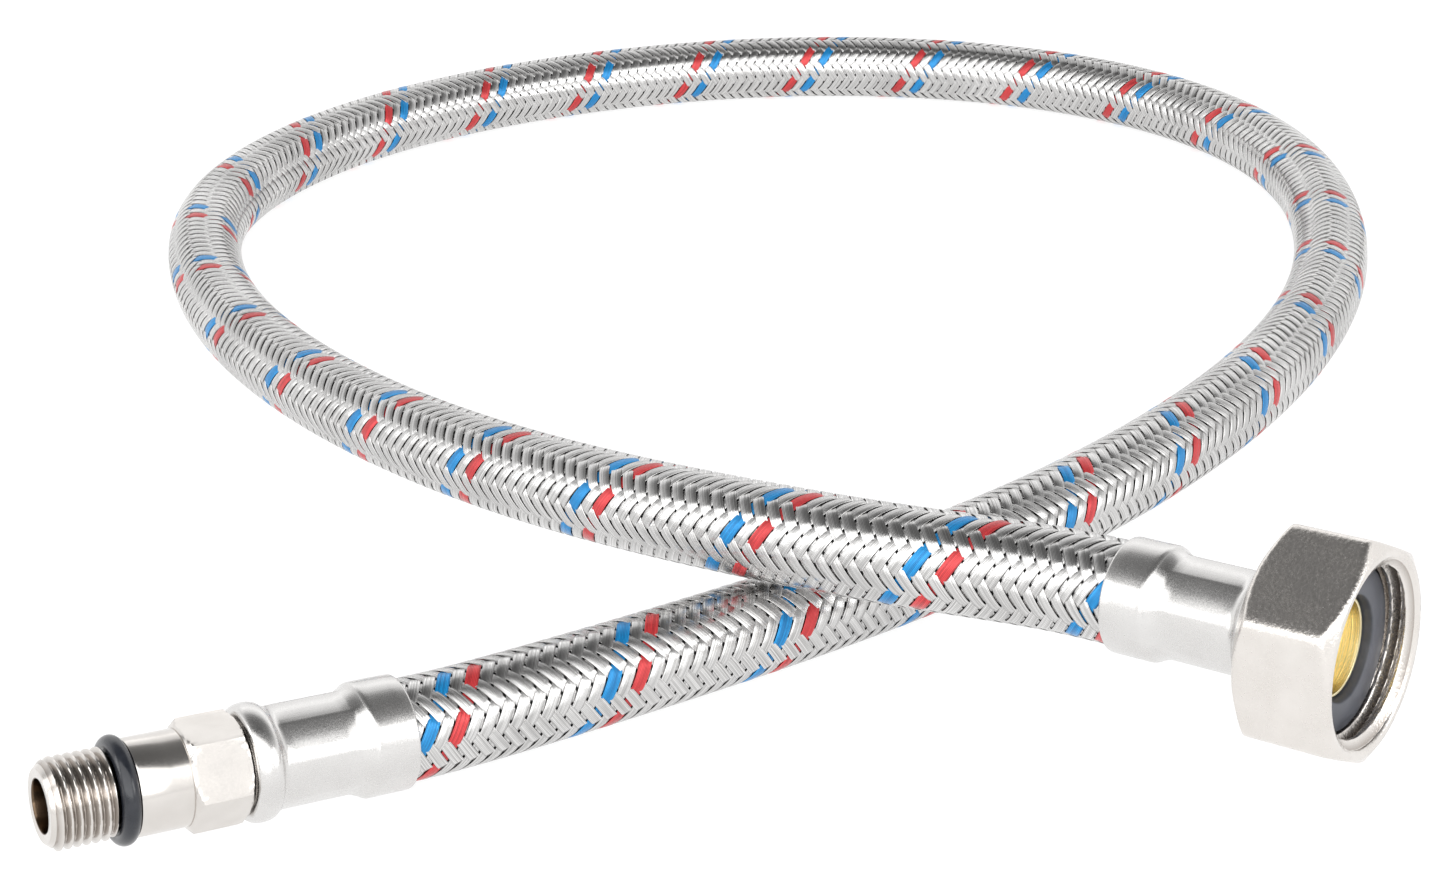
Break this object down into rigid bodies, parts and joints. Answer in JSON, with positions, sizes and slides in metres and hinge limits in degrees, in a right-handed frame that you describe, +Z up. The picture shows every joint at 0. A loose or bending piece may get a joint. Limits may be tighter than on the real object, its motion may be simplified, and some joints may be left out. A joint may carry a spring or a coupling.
{
  "type": "braided supply line",
  "caption": "Flexible stainless-braided water supply line in a loop, with a threaded O-ring tail on one end and a swivel hexagonal union nut with a flat washer on the other.",
  "frame": {"origin": "middle of the footprint, on the surface that the loop lies on", "axes": "+Z up; -Y towards the two fittings, which lie along the near side of the loop; +X towards the swivel nut and -X towards the threaded tail"},
  "size_m": [0.2048, 0.2742, 0.0392],
  "materials": {
    "hose_rubber": "matte",
    "braid_wire": "bright drawn wire",
    "ferrule_steel": "polished, with fine crimp lines",
    "nickel_plate": "satin nickel plate",
    "bare_brass": "turned",
    "ring_rubber": "glossy",
    "washer_rubber": "matte"
  },
  "bodies": {
    "hose": {"inner_hose": "hose_rubber", "wire_braid": "braid_wire", "male_ferrule": "ferrule_steel", "male_tail": "nickel_plate", "o_ring": "ring_rubber", "female_ferrule": "ferrule_steel", "union_insert": "bare_brass"},
    "nut": {"union_nut": "nickel_plate", "sealing_washer": "washer_rubber"}
  },
  "joints": [
    {"name": "nut_swivel", "type": "hinge", "parent": "hose", "child": "nut", "pos_m": [0.0553, -0.12365, 0.02551], "axis": [0.7833, -0.6119, 0.1097], "continuous": true}
  ]
}
